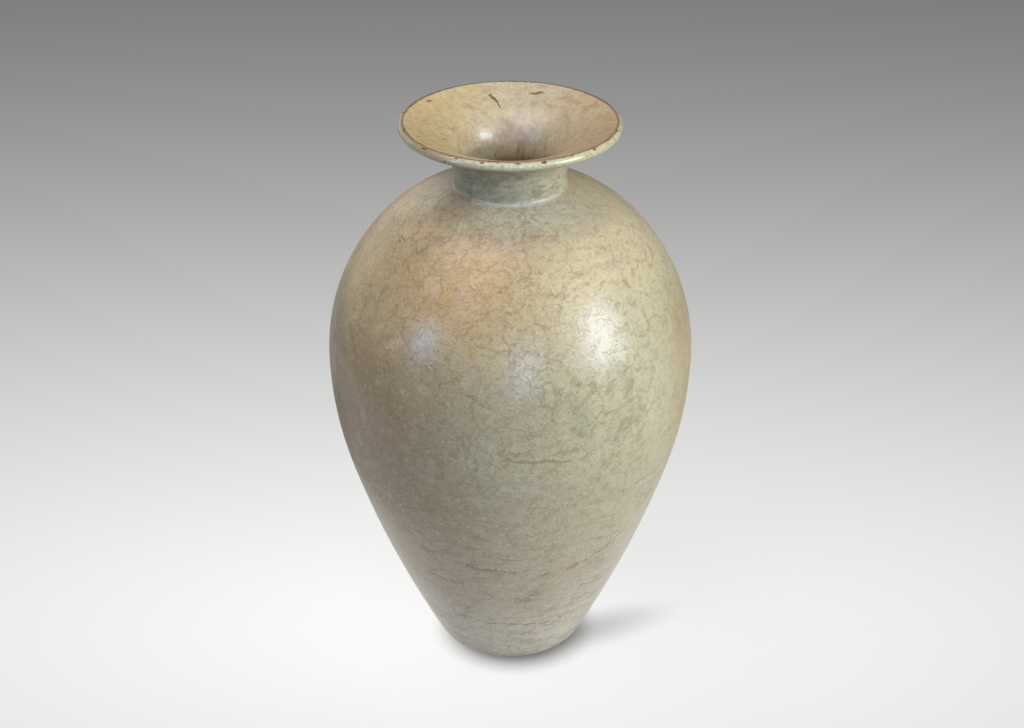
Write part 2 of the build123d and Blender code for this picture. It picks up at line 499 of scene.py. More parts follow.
def clay_lines():
    """The clay's outer line, from the foot to the crest of the lip, and its inner line, from the crest to the
    middle of the floor. Both are the same tangent arcs and runs, the inner ones one wall further in."""
    low_centre = np.array([CLAY_BELLY - LOWER_BELLY_CURVE, BELLY_LEVEL])
    low_end = on_circle(low_centre, LOWER_BELLY_CURVE, -LOWER_BELLY_TURN)
    wall_centre, wall_curve = arc_to(low_end, -LOWER_BELLY_TURN, (FOOT_RADIUS, 0))
    high_centre = np.array([CLAY_BELLY - UPPER_BELLY_CURVE, BELLY_LEVEL])
    high_end = on_circle(high_centre, UPPER_BELLY_CURVE, UPPER_BELLY_TURN)
    shoulder_centre, shoulder_curve = arc_to(high_end, UPPER_BELLY_TURN, (CLAY_NECK, NECK_LEVEL))

    def corner_round(inset, radius, level):
        """Centre of a round inside the wall arc that rests on a level, and the angle where they meet."""
        reach = wall_curve - inset - radius
        up = level + radius - wall_centre[1]
        centre = wall_centre + np.array([np.sqrt(reach**2 - up**2), up])
        return centre, np.arcsin(up / reach)

    crease_radius = CLAY_NECK + CREASE_ROUND
    crease_reach = shoulder_curve + CREASE_ROUND
    crease_turn = np.arccos((crease_radius - shoulder_centre[0]) / crease_reach)
    crease_centre = on_circle(shoulder_centre, crease_reach, crease_turn)
    flare_end = on_circle(LIP_CENTRE, LIP_ROUND, FLARE_SLOPE - FLAT_UP)
    corner_level = flare_end[1] - (flare_end[0] - CLAY_NECK) * np.tan(FLARE_SLOPE)
    bend_drop = FLARE_BEND * np.tan((FLAT_UP - FLARE_SLOPE) / 2)
    bend_centre = np.array([CLAY_NECK + FLARE_BEND, corner_level - bend_drop])
    foot_centre, foot_turn = corner_round(0, FOOT_ROUND, 0)
    floor_centre, floor_turn = corner_round(CLAY_WALL, FLOOR_ROUND, FLOOR_LEVEL)

    def stretches(inset, wall_start):
        """The stretches from the leaning wall up to the start of the flare."""
        return {
            "wall": arc(wall_centre, wall_curve - inset, wall_start, -LOWER_BELLY_TURN),
            "lower_belly": arc(low_centre, LOWER_BELLY_CURVE - inset, -LOWER_BELLY_TURN, 0),
            "upper_belly": arc(high_centre, UPPER_BELLY_CURVE - inset, 0, UPPER_BELLY_TURN),
            "shoulder": arc(shoulder_centre, shoulder_curve - inset, UPPER_BELLY_TURN, crease_turn),
            "crease": arc(crease_centre, CREASE_ROUND + inset, crease_turn + np.pi, np.pi),
            "bend": arc(bend_centre, FLARE_BEND + inset, np.pi, FLAT_UP + FLARE_SLOPE),
        }

    outer = {"foot": arc(foot_centre, FOOT_ROUND, -FLAT_UP, foot_turn), **stretches(0, foot_turn)}
    outer["lip"] = arc(LIP_CENTRE, LIP_ROUND, FLARE_SLOPE - FLAT_UP, FLAT_UP)
    inner = {"lip": arc(LIP_CENTRE, LIP_ROUND, FLAT_UP, FLAT_UP + FLARE_SLOPE)}
    for name, points in reversed(stretches(CLAY_WALL, floor_turn).items()):
        inner[name] = points[::-1]
    inner["floor_corner"] = arc(floor_centre, FLOOR_ROUND, floor_turn, -FLAT_UP)
    inner["floor"] = np.linspace(floor_centre - [0, FLOOR_ROUND], [0, FLOOR_LEVEL], STRETCH_POINTS)
    return ProfileLine(outer), ProfileLine(inner)


def waves(turn, along, seed, count, longest, shortest):
    """Sum of cosine waves, between about -1 and 1. Each runs a whole number of times round the axis and
    crosses the line at its own slant, with wavelengths between the two given."""
    draw = np.random.default_rng(seed)
    total = 0
    for _ in range(count):
        length = np.exp(draw.uniform(np.log(shortest), np.log(longest)))
        slant = draw.uniform(0, 2 * np.pi)
        round_axis = np.round(2 * np.pi * BELLY_RADIUS / length * np.cos(slant))
        phase = draw.uniform(0, 2 * np.pi)
        total = total + np.cos(round_axis * turn + 2 * np.pi / length * np.sin(slant) * along + phase)
    return total / np.sqrt(2 * count)


def wave_share(*shape):
    """The sum of waves brought to between 0 and 1: half and 0.4 of the sum, cut off at both ends."""
    return np.clip(0.5 + 0.4 * waves(*shape), 0, 1)


def rings(stops, spacings):
    """Distances along a line, from each stop to the next with that part's spacing in millimetres."""
    runs = []
    for start, end, spacing in zip(stops, stops[1:], spacings):
        steps = max(1, int(np.ceil((end - start) / (spacing * MM))))
        runs.append(np.linspace(start, end, steps + 1))
    return np.unique(np.concatenate(runs))


def mesh_object(name, points, faces, map_places, attributes):
    """A smooth mesh with one map for its finish and named values on its points."""
    mesh = bpy.data.meshes.new(name)
    mesh.from_pydata(points, [], faces)
    layer = mesh.uv_layers.new(name="OFBake")
    layer.uv.foreach_set("vector", map_places.astype(np.float32).ravel())
    for label, values in attributes.items():
        attribute = mesh.attributes.new(label, "FLOAT", "POINT")
        attribute.data.foreach_set("value", values.astype(np.float32).ravel())
    mesh.validate()
    mesh.shade_smooth()
    mesh.set_sharp_from_angle(angle=SHARP_ANGLE)
    made = bpy.data.objects.new(name, mesh)
    bpy.context.scene.collection.objects.link(made)
    return made


def close_poles(mesh):
    """Joins the points that lie together on the axis, so that the faces there end in one point."""
    work = bmesh.new()
    work.from_mesh(mesh)
    bmesh.ops.remove_doubles(work, verts=work.verts, dist=SAME_POLE)
    work.to_mesh(mesh)
    work.free()


def revolved(name, line, along, lift, around, attributes, shift):
    """A closed shell turned about the axis. Its section is a loop: out along the line at the given lift over
    the clay, and back along the clay itself. At turn t the point of radius r is (r sin t, -r cos t). A shift
    moves a ring's place along the line by an amount that changes with the turn. On the map, each half turn
    is one strip as tall as the loop, in which the hidden back is drawn short."""
    turn = np.arange(around) * 2 * np.pi / around
    face_rings = len(along)
    back = along[::-3]
    back = back if back[-1] == along[0] else np.append(back, along[0])
    whole = np.append(along, back)[:, None]
    loops = len(whole)
    rise = np.zeros((loops, around))
    rise[:face_rings] = lift(along[:, None], turn[None, :])
    place = whole + (shift(whole, turn[None, :]) if shift else 0)
    radius, level, out, up = line.at(place)
    radius = np.maximum(radius + rise * out, 0)
    level = level + rise * up
    points = np.stack([radius * np.sin(turn), -radius * np.cos(turn), level], -1).reshape(-1, 3)
    ring, column = np.meshgrid(np.arange(loops), np.arange(around), indexing="ij")
    ends_on_axis = line.at(along[-1])[0] < ON_AXIS
    kept = (ring != face_rings - 1) | (not ends_on_axis)
    ring, column = ring[kept], column[kept]
    corners = np.array([[0, 0], [0, 1], [1, 1], [1, 0]])
    corner_ring = ring[:, None] + corners[:, 0]
    corner_column = column[:, None] + corners[:, 1]
    faces = (corner_ring % loops) * around + corner_column % around
    half = around / 2
    strip = (column >= half)[:, None]
    across = corner_column / half - strip
    share = np.append(along - along[0], along[-1] - along[0] + BACK_SHARE * (along[-1] - back))
    full = share[-1] * CLOSING_ROOM
    upright = np.append(share, full)[corner_ring] / full
    map_across = MAP_MARGIN + (1 - 2 * MAP_MARGIN) * across
    map_up = MAP_MARGIN + (0.5 - 2 * MAP_MARGIN) * upright + 0.5 * strip
    on_face = np.arange(loops)[:, None] < face_rings
    shown = {label: np.where(on_face, rule(whole, turn[None, :]), 0) for label, rule in attributes.items()}
    made = mesh_object(name, points.tolist(), faces.tolist(), np.stack([map_across, map_up], -1), shown)
    if ends_on_axis:
        close_poles(made.data)
    return made


outer_line, inner_line = clay_lines()
foot_levels = outer_line.points[:STRETCH_POINTS, 1]
foot_edge = np.interp(BARE_FOOT, foot_levels, outer_line.along[:STRETCH_POINTS])


def crest_distance(line, along):
    """Distance from the crest of the lip, positive on the outside."""
    return line.length - along if line is outer_line else -along


def chip_share(line, along, turn):
    """How much of the coat is chipped away, 0 to 1: an ellipse for each chip, with a ragged edge."""
    crest = crest_distance(line, along)
    ragged = CHIP_RAGGED * waves(turn, crest, *CHIP_WAVES)
    share = 0
    for degrees, place, half_length, half_width in LIP_CHIPS:
        aside = np.angle(np.exp(1j * (turn - np.radians(degrees)))) * CLAY_MOUTH_RADIUS
        reach = np.hypot(aside / (half_length * MM), (crest - place * MM) / (half_width * MM))
        share = np.maximum(share, np.clip(CHIP_SLOPE * (CHIP_EDGE + ragged - reach), 0, 1))
    return share


def rim_nearness(line, along):
    """1 in the middle of the rim's bare band, falling evenly to 0 at its reach."""
    return np.clip(1 - np.abs(crest_distance(line, along) - RIM_MIDDLE) / RIM_REACH, 0, 1)


def coat_lift(line, seed):
    """The glaze's height over the clay: one coat, less a gentle unevenness that dies out at the crest and at
    the middle of the floor, less the chips, with a round edge at the bare foot."""
    def lift(along, turn):
        calm_end = np.abs(crest_distance(line, along))
        if line is inner_line:
            calm_end = np.minimum(calm_end, line.length - along)
        uneven = wave_share(turn, along, seed, *COAT_WAVES) * np.clip(calm_end / CALM_REACH, 0, 1)
        edge = 1.0
        if line is outer_line:
            edge = np.sqrt(np.clip((along - foot_edge) / EDGE_ROUND, EDGE_LEAST, 1))
        chips = chip_share(line, along, turn)
        return GLAZE_COAT * (edge - UNEVEN_SHARE * uneven) * (1 - CHIP_SHARE * chips)
    return lift


def foot_shift(along, turn):
    """How far the glaze's edge at the foot wanders up, dying out above it."""
    wander = FOOT_WANDER * wave_share(turn, 0 * along, *FOOT_WAVES)
    return wander * np.clip(1 - (along - foot_edge) / FOOT_WANDER_REACH, 0, 1)


def glaze_piece(name, line, along, around, seed, node):
    """One piece of a glaze coat, riding on the vase in place of its node."""
    shift = foot_shift if line is outer_line else None
    attributes = {
        "rim": lambda place, turn: rim_nearness(line, place) + 0 * turn,
        "chip": lambda place, turn: chip_share(line, place, turn),
    }
    made = revolved(name, line, along, coat_lift(line, seed), around, attributes, shift)
    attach(made, "root")
    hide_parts(node)
    return made


def glaze_pieces(line, shells, seed, node):
    """All the pieces of a glaze coat."""
    made = []
    for name, (stops, spacings, around) in shells.items():
        made.append(glaze_piece(name, line, rings(stops, spacings), around, seed, node))
    return made


# Places along the lines where the shells meet or their spacing changes
belly_place = outer_line.ends["lower_belly"]
crease_place = outer_line.ends["shoulder"]
flare_place = outer_line.ends["bend"]
lip_place = outer_line.length - FINE_LIP
throat_place = inner_line.ends["crease"]
floor_place = inner_line.ends["wall"]
mouth_stops = (crease_place, crease_place + FINE_EDGE, flare_place, lip_place, outer_line.length)

# Shells of each coat: the stops along the line, the spacing of the rings in millimetres, the points on a ring
outer_shells = {
    "outer_glaze_lower": ((foot_edge, foot_edge + FINE_EDGE, belly_place), (0.4, 1.6), BODY_AROUND),
    "outer_glaze_upper": ((belly_place, crease_place), (1.2,), BODY_AROUND),
    "outer_glaze_mouth": (mouth_stops, (0.35, 0.8, 1.0, 0.28), MOUTH_AROUND),
}
inner_shells = {
    "inner_glaze_mouth": ((0, FINE_EDGE, throat_place), (0.28, 0.7), MOUTH_AROUND),
    "inner_glaze_body": ((throat_place, floor_place, inner_line.length), (2.5, 2.0), INSIDE_AROUND),
}
outer_pieces = glaze_pieces(outer_line, outer_shells, OUTER_SEED, "outer_glaze")
inner_pieces = glaze_pieces(inner_line, inner_shells, INNER_SEED, "inner_glaze")


class Signal:
    """An output of a node. Arithmetic on it adds Math nodes."""

    def __init__(self, nodes, socket):
        self.nodes = nodes
        self.socket = socket

    def __add__(self, other):
        return self.nodes.math("ADD", self, other)

    def __sub__(self, other):
        return self.nodes.math("SUBTRACT", self, other)

    def __rsub__(self, other):
        return self.nodes.math("SUBTRACT", other, self)

    def __mul__(self, other):
        return self.nodes.math("MULTIPLY", self, other)

    def __truediv__(self, other):
        return self.nodes.math("DIVIDE", self, other)

    def __rtruediv__(self, other):
        return self.nodes.math("DIVIDE", other, self)

    __radd__ = __add__
    __rmul__ = __mul__


class Nodes:
    """The node tree of a finish, with the few patterns that the finishes share."""

    def __init__(self, tree):
        self.tree = tree

    def feed(self, socket, value):
        """Links a signal to a socket, or sets the socket's value."""
        if isinstance(value, Signal):
            self.tree.links.new(value.socket, socket)
        else:
            socket.default_value = value

    def node(self, kind, settings, sockets, output=0):
        """A new node: its settings first, then its sockets by name or number. Returns one of its outputs."""
        made = self.tree.nodes.new(kind)
        for name, value in settings.items():
            setattr(made, name, value)
        for name, value in sockets.items():
            self.feed(made.inputs[name], value)
        return Signal(self, made.outputs[output])

    def math(self, operation, *values):
        """A Math node."""
        return self.node("ShaderNodeMath", {"operation": operation}, dict(enumerate(values)))

    def vector(self, operation, *values, output=0):
        """A Vector Math node."""
        return self.node("ShaderNodeVectorMath", {"operation": operation}, dict(enumerate(values)), output)

    def scaled(self, vector, factor):
        """A vector times a number."""
        return self.node("ShaderNodeVectorMath", {"operation": "SCALE"}, {0: vector, "Scale": factor})

    def mix(self, factor, first, second):
        """From the first colour to the second. A colour is a signal or a screen colour."""
        colours = [part if isinstance(part, Signal) else linear(part) for part in (first, second)]
        settings = {"data_type": "RGBA", "clamp_factor": True}
        return self.node("ShaderNodeMix", settings, {0: factor, 6: colours[0], 7: colours[1]}, 2)

    def grey(self, level):
        """A grey of the given level."""
        return self.node("ShaderNodeCombineColor", {}, {0: level, 1: level, 2: level})

    def smooth(self, value, low, high):
        """Eased rise from 0 where the value is low to 1 where it is high. With low above high it falls."""
        sockets = {"Value": value, "From Min": low, "From Max": high}
        return self.node("ShaderNodeMapRange", {"interpolation_type": "SMOOTHSTEP"}, sockets)

    def most(self, signals):
        """The greatest of several signals."""
        return reduce(lambda one, other: self.math("MAXIMUM", one, other), signals)

    def zone(self, limits, axes):
        """The product of eased rises, each along a named axis from where it starts to where it is full."""
        return reduce(mul, [self.smooth(axes[axis], start, full) for axis, start, full in limits])

    def layers(self, colour, rows, axes):
        """Zones laid over a colour. A row is a colour, its share and its limits."""
        for zone_colour, share, *limits in rows:
            colour = self.mix(self.zone(limits, axes) * share, colour, zone_colour)
        return colour

    def place(self):
        """The surface's place in the vase's frame, in millimetres."""
        return self.scaled(self.node("ShaderNodeTexCoord", {}, {}, "Object"), 1 / MM)

    def parts(self, place):
        """The three parts of a place."""
        split = self.node("ShaderNodeSeparateXYZ", {}, {0: place})
        return [Signal(self, output) for output in split.socket.node.outputs]

    def noise(self, place, size, detail=2.0, rough=0.5, output=0):
        """Cloudy noise about 0.5, with features of the given size."""
        sockets = {"Vector": place, "Scale": 1 / size, "Detail": detail, "Roughness": rough}
        return self.node("ShaderNodeTexNoise", {"noise_dimensions": "3D"}, sockets, output)

    def warp(self, place, pushes):
        """The place pushed about by noise, once for each size and amount, by up to about half the amount."""
        for size, amount in pushes:
            push = self.vector("SUBTRACT", self.noise(place, size, 1.0, output="Color"), (0.5, 0.5, 0.5))
            place = self.vector("ADD", place, self.scaled(push, amount))
        return place

    def swell(self, value, place, swells):
        """A value moved up and down by noise, once for each size, detail and move."""
        for size, detail, move in swells:
            value = value + (self.noise(place, size, detail) - 0.5) * move
        return value

    def measure(self, place, unit, turn=(0, 0, 0), start=(0, 0, 0)):
        """The place measured from a start, along turned axes, with a unit of length for each axis."""
        sockets = {"Vector": place, "Location": start, "Rotation": turn, "Scale": unit}
        return self.node("ShaderNodeMapping", {"vector_type": "TEXTURE"}, sockets)

    def cell_edge(self, place, size):
        """Distance from the border between cells, as a share of their size."""
        settings = {"voronoi_dimensions": "3D", "feature": "DISTANCE_TO_EDGE"}
        return self.node("ShaderNodeTexVoronoi", settings, {"Vector": place, "Scale": 1 / size}, "Distance")

    def spot(self, place, centre, radius):
        """1 at the centre, easing to 0 at the radius."""
        away = self.vector("DISTANCE", place, centre, output="Value")
        return self.smooth(away, radius, 0)

    def spots(self, colour, place, rows):
        """Soft spots laid over a colour. A row is a colour, its share, a centre and a radius."""
        for spot_colour, share, centre, radius in rows:
            colour = self.mix(self.spot(place, centre, radius) * share, colour, spot_colour)
        return colour

    def stroke(self, place, start, end, half_width):
        """1 within half a width of the line from start to end, with a short soft edge."""
        reach = np.subtract(end, start)
        from_start = self.vector("SUBTRACT", place, start)
        share = self.vector("DOT_PRODUCT", from_start, tuple(reach / (reach @ reach)), output="Value")
        share = self.node("ShaderNodeClamp", {}, {"Value": share})
        away = self.vector("DISTANCE", from_start, self.scaled(tuple(reach), share), output="Value")
        return self.smooth(away, 1.3 * half_width, 0.5 * half_width)

    def path(self, place, points, half_width):
        """The strokes from each point to the next."""
        return self.most([self.stroke(place, *ends, half_width) for ends in zip(points, points[1:])])

    def front_path(self, place, points, half_width):
        """A path through (x, z) points, for a place whose y is 0."""
        return self.path(place, [(across, 0, level) for across, level in points], half_width)

    def value_of(self, name):
        """A named value that the piece's points carry."""
        return self.node("ShaderNodeAttribute", {"attribute_name": name}, {}, "Fac")


class Finish(Nodes):
    """A material on one glossy or matt surface."""

    def __init__(self, name):
        self.material = bpy.data.materials.new(name)
        self.material.use_nodes = True
        super().__init__(self.material.node_tree)
        self.shader = self.tree.nodes["Principled BSDF"]

    def feed_shader(self, values):
        """Feeds the shader's sockets by their names."""
        for name, value in values.items():
            self.feed(self.shader.inputs[name], value)

    def surface(self, colour, roughness, height, depth):
        """Sets the colour, the roughness and a bump of the given depth in metres."""
        bump = self.node("ShaderNodeBump", {}, {"Height": height, "Distance": depth, "Strength": 1.0})
        self.feed_shader({"Base Color": colour, "Roughness": roughness, "Normal": bump, "IOR": REFRACTION})
        return self.material


def glaze_zones(f, place, cloud, patchy):
    """Colour of the outside in broad soft zones: grey foot, beige body, a brown left side partly of painted
    shade, buff shoulder, cream right side, an orange blush, browner outer edges of painted shade, a rose
    upper left shoulder that is partly painted light, painted shade on the shoulder under the mouth, and a
    grey-green neck that is cream at its right end. Below the neck lie a pale green patch that is partly
    painted light, with a fringe, and a pale spot of painted sheen."""
    x, y, z = f.parts(place)
    drift = (cloud - 0.5) * BODY_DRIFT
    torn = (patchy - 0.5) * TORN_DRIFT
    ragged = (patchy - 0.5) * RAGGED_DRIFT
    axes = {
        "x": x,
        "z": z,
        "side": x / f.vector("LENGTH", f.vector("MULTIPLY", place, (1, 1, 0)), output="Value"),
        "drifting x": x + drift,
        "drifting z": z + drift,
        "torn x": x + torn,
        "torn z": z + torn,
        "ragged y": y + ragged,
        "ragged z": z + ragged,
        "even z": z + (patchy - 0.5) * EVEN_DRIFT,
    }
    colour = f.layers(FOOT_GREY, BODY_ZONES, axes)
    colour = f.spots(colour, f.warp(place, BLUSH_PUSH), BLUSH_SPOTS)
    colour = f.spots(colour, place, BODY_SPOTS)
    colour = f.layers(colour, SHOULDER_ZONES, axes)
    green = f.zone(GREEN_LIMITS, axes)
    fringe = f.zone(FRINGE_LIMITS, axes) - green
    colour = f.mix(fringe * f.smooth(x, *FRINGE_SIDE) * 0.25, colour, LAVENDER)
    # Pale green of the glaze under the neck, partly painted light against the mouth's shade
    colour = f.mix(green * 0.85, colour, PALE_GREEN_AND_PAINTED_LIGHT)
    # Painted sheen left of the neck
    colour = f.spots(colour, place, NECK_SHEEN_SPOTS)
    neck = f.mix(f.smooth(x, *NECK_SIDE) * 0.6, GREY_GREEN, CREAM)
    return f.mix(f.zone(NECK_LIMITS, axes) * 0.85, colour, neck)


def glaze_clouds(f, colour, place, patchy):
    """Soft mottling to the green, the pink, the pale and the brown side, in clouds of three sizes."""
    axes = {
        "hue": f.noise(f.warp(place, HUE_PUSH), HUE_CLOUD, detail=3.0, rough=0.55),
        "patchy": patchy,
        "small": f.noise(place, SMALL_CLOUD, detail=3.0, rough=0.6),
    }
    return f.layers(colour, CLOUD_ZONES, axes)


def crackle(f, place):
    """Dotted soft lines at the borders of rounded cells and at the contours of noise, with a fine network
    between them. Gives the low steps of the glaze from each contour to the next too."""
    wander = f.warp(place, CRACKLE_PUSH)
    hill = f.noise(wander, CRACKLE_HILL, detail=4.0, rough=0.6) * HILL_CONTOURS
    kept = f.smooth(f.noise(place, CRACKLE_BREAK, detail=1.0), 0.3, 0.55)
    borders = f.smooth(f.cell_edge(wander, CRACKLE_CELL), 0.08, 0.015) * kept
    contours = f.smooth(f.math("PINGPONG", hill, 0.5), 0.1, 0.02) * 0.8
    network = f.smooth(f.cell_edge(f.warp(wander, NET_PUSH), CRACKLE_NET), 0.12, 0.02) * 0.25
    dotted = f.smooth(f.noise(place, DOT), 0.3, 0.6)
    steps = f.math("FLOOR", hill) + f.smooth(f.math("FRACT", hill), 0.86, 1.0)
    return f.most([borders, contours, network]) * dotted, steps


def scales(f, place, right_side):
    """Ragged tan flakes that lean up to the right in loose slanting rows, sparser off the right side."""
    flake = f.noise(f.measure(f.warp(place, FLAKE_PUSH), FLAKE, FLAKE_TURN), 1)
    rows = f.noise(f.measure(place, FLAKE_ROW, FLAKE_TURN), 1, detail=1.0)
    return f.smooth(flake + (rows - 0.5) * 0.35 + (right_side - 1) * 0.14, 0.59, 0.63)


def outer_marks(f, colour, place):
    """Iron lines, one long run and a few specks at their own places on the front."""
    front = f.smooth(f.parts(place)[1], *FRONT)
    wavy = f.vector("MULTIPLY", f.warp(place, MARK_PUSH), (1, 0, 1))
    broken = f.smooth(f.noise(place, MARK_BREAK, detail=3.0), 0.36, 0.56) * front
    iron = f.most([f.front_path(wavy, line, IRON_HALF) for line in IRON_LINES])
    colour = f.mix(iron * broken * 0.6, colour, IRON_RED)
    colour = f.mix(f.front_path(wavy, RUN_LINE, RUN_HALF) * front * 0.45, colour, LINE_BROWN)
    colour = f.mix(f.front_path(wavy, RED_FLECK, FLECK_HALF) * front * 0.75, colour, FLECK_RED)
    specks = f.most([f.spot(wavy, (across, 0, level), SPECK_RADIUS) for across, level in SPECKS])
    return f.mix(f.smooth(specks, 0.15, 0.7) * front * 0.6, colour, DARK_SPECK)


def low_lines(f, colour, place, low):
    """Flat broken wavy lines, soft strata, and short pale dashes and dots, strongest on the lower body."""
    z = f.parts(place)[2]
    wave = f.math("PINGPONG", f.swell(z, place, LINE_SWELLS), LINE_STEP)
    kept = f.smooth(f.noise(place, LINE_BREAK, detail=1.0), 0.47, 0.6)
    colour = f.mix(f.smooth(wave, 1.3, 0.2) * kept * low * 0.4, colour, IRON_RED)
    drape = f.math("PINGPONG", f.swell(z, place, STRATUM_SWELLS), STRATUM_STEP)
    kept = f.smooth(f.noise(place, STRATUM_BREAK, detail=1.0), 0.42, 0.6)
    colour = f.mix(f.smooth(drape, 3.6, 0.4) * kept * low * 0.28, colour, SHADE_AND_MOTTLE_BROWN)
    dash = f.noise(f.measure(f.warp(place, DASH_PUSH), DASH), 1, detail=3.0, rough=0.6)
    dot = f.noise(f.measure(place, PALE_DOT), 1)
    pale = f.math("MAXIMUM", f.smooth(dash, 0.56, 0.7) * 0.4, f.smooth(dot, 0.6, 0.68))
    return f.mix(pale * (0.25 + 0.35 * low), colour, PALE_FLECK)


def collar_marks(f, colour, place):
    """Flat brown and pale streaks on the neck, and a painted highlight along the crease at its foot."""
    x, y, z = f.parts(place)
    axes = {
        "x": x,
        "y": y,
        "z": z,
        "streak": f.noise(f.measure(f.warp(place, STREAK_PUSH), COLLAR_STREAK), 1, detail=3.0, rough=0.6),
        "off crease": f.math("ABSOLUTE", z - CREASE_LINE),
    }
    return f.layers(colour, COLLAR_ZONES, axes)


def lip_face(f, colour, place, rolled):
    """The outside of the rolled lip: pale, tan at the crest, yellower on the right, greyer on the left in
    painted shade and darker at its lower edge in painted shade, with blotches and freckles."""
    blotch = f.noise(place, BLOTCH, detail=4.0, rough=0.65)
    axes = {
        "x": f.parts(place)[0],
        "rolled": rolled,
        "blotch": blotch,
        "blotched": rolled + (blotch - 0.5) * BLOTCH_MOVE,
        "freckle": f.noise(place, FRECKLE),
    }
    return f.layers(colour, LIP_ZONES, axes)


def lip_crest(f, colour, place):
    """Bare brown band on the crest of the lip, with darker dots, and dark chips. Gives the band too."""
    behind = f.smooth(f.parts(place)[1], *BEHIND)
    nearness = f.swell(f.value_of("rim"), place, RIM_SWELLS) + 0.03 * behind
    band = f.smooth(nearness, 0.905, 0.96)
    colour = f.mix(band * 0.75, colour, f.mix(behind, RIM_BROWN, RIM_DARK))
    dots = f.smooth(f.noise(place, RIM_DOT), 0.52, 0.64)
    colour = f.mix(band * dots * 0.75, colour, CHIP_BROWN)
    return f.mix(f.smooth(f.value_of("chip"), 0.15, 0.5), colour, CHIP_BROWN), band


def outer_finish():
    """Satin mottled glaze of the outside, from the foot to the crest of the lip."""
    f = Finish("satin_mottled_glaze")
    place = f.place()
    x, _, z = f.parts(place)
    cloud = f.noise(place, CLOUD)
    patchy = f.noise(place, PATCH, detail=3.0, rough=0.6)
    grain = f.noise(place, GRAIN, detail=3.0, rough=0.75)
    colour = glaze_zones(f, place, cloud, patchy)
    colour = glaze_clouds(f, colour, place, patchy)
    upper = f.smooth(z, *UPPER_RISE)
    low = f.smooth(z, *LOW_END)
    calm = f.smooth(x + (cloud - 0.5) * BODY_DRIFT, *CALM_SIDE) * upper
    axes = {"x": x, "z": z, "flaky x": x + (cloud - 0.5) * FLAKY_DRIFT}
    right_side = f.zone(FLAKY_LIMITS, axes)
    lines, steps = crackle(f, place)
    lines = lines * (0.3 + 0.7 * upper) * (1 - 0.4 * calm)
    colour = f.mix(lines * 0.46, colour, LINE_BROWN)
    colour = f.mix(scales(f, place, right_side) * right_side * 0.5, colour, FLAKE_TAN)
    colour = low_lines(f, colour, place, low)
    colour = collar_marks(f, colour, place)
    colour = outer_marks(f, colour, place)
    colour = f.mix(f.smooth(grain, 0.42, 0.66) * (0.3 - 0.16 * calm), colour, LINE_BROWN)
    rolled = f.value_of("rim")
    colour = lip_face(f, colour, place, rolled)
    colour, band = lip_crest(f, colour, place)
    belt = f.zone(BELT_LIMITS, axes)
    rolled_face = f.smooth(rolled, 0.2, 0.6)
    roughness = 0.25 + 0.08 * patchy + 0.24 * belt - 0.1 * rolled_face + 0.25 * band
    relief = f.noise(place, RELIEF, detail=3.0, rough=0.6)
    height = 0.7 * relief + 0.25 * grain + steps * (0.06 + 0.7 * upper)
    return f.surface(colour, roughness, height, OUTER_DEPTH)


def inner_finish():
    """Warm tan glaze of the mouth, golden on the left, rosy at the back with a spot of painted sheen, and
    browner on the right. It darkens down the throat in painted shade, with a painted shadow of the front
    wall in olive on the left and darker brown deep on the right, and has iron flecks and runs."""
    f = Finish("satin_tan_glaze")
    place = f.place()
    x, _, z = f.parts(place)
    patchy = f.noise(place, MOUTH_PATCH, detail=3.0, rough=0.6)
    grain = f.noise(place, GRAIN, detail=3.0, rough=0.75)
    axes = {
        "x": x,
        "z": z,
        "patchy": patchy,
        "drifting x": x + (f.noise(place, MOUTH_CLOUD) - 0.5) * MOUTH_DRIFT,
        "patchy z": z + (patchy - 0.5) * THROAT_DRIFT,
    }
    colour = f.layers(GOLD_TAN, MOUTH_ZONES, axes)
    # Painted sheen at the back of the mouth
    colour = f.spots(colour, f.warp(place, MOUTH_SHEEN_PUSH), MOUTH_SHEEN_SPOTS)
    colour = f.layers(colour, THROAT_ZONES, axes)
    wavy = f.noise(f.warp(place, RIPPLE_PUSH), RIPPLE, detail=4.0, rough=0.6) * RIPPLE_CONTOURS
    ripple = f.smooth(f.math("PINGPONG", wavy, 0.5), 0.24, 0.04)
    colour = f.mix(ripple * 0.2, colour, LINE_BROWN)
    runs = f.noise(f.measure(place, THROAT_RUN), 1, detail=3.0, rough=0.6)
    colour = f.mix(f.smooth(runs, 0.52, 0.66) * f.smooth(z, *RUNS_END) * 0.6, colour, CHIP_BROWN)
    ragged = f.vector("MULTIPLY", f.warp(place, MOUTH_MARK_PUSH), (1, 1, 0))
    marks = [f.path(ragged, [(*point, 0) for point in line], half) for half, *line in MOUTH_MARKS]
    colour = f.mix(f.most(marks) * f.smooth(z, *MOUTH_MARKS_RISE) * 0.85, colour, CHIP_BROWN)
    colour = f.mix(f.smooth(grain, 0.45, 0.7) * 0.3, colour, LINE_BROWN)
    colour, band = lip_crest(f, colour, place)
    roughness = 0.18 + 0.1 * patchy + 0.25 * band
    height = f.noise(place, RELIEF, detail=3.0, rough=0.6) + 0.4 * grain - 0.25 * ripple
    return f.surface(colour, roughness, height, INNER_DEPTH)


def clay_finish(name, colour_low, colour_high, roughness):
    """Fired clay, gritty and cloudy between two browns."""
    f = Finish(name)
    place = f.place()
    cloud = f.noise(place, CLAY_CLOUD, detail=4.0, rough=0.6)
    grit = f.noise(place, CLAY_GRIT, rough=0.7)
    colour = f.mix(f.smooth(cloud, 0.3, 0.7), colour_low, colour_high)
    colour = f.mix(f.smooth(grit, 0.6, 0.75) * 0.5, colour, CHIP_BROWN)
    return f.surface(colour, roughness + 0.15 * cloud, grit, CLAY_DEPTH)


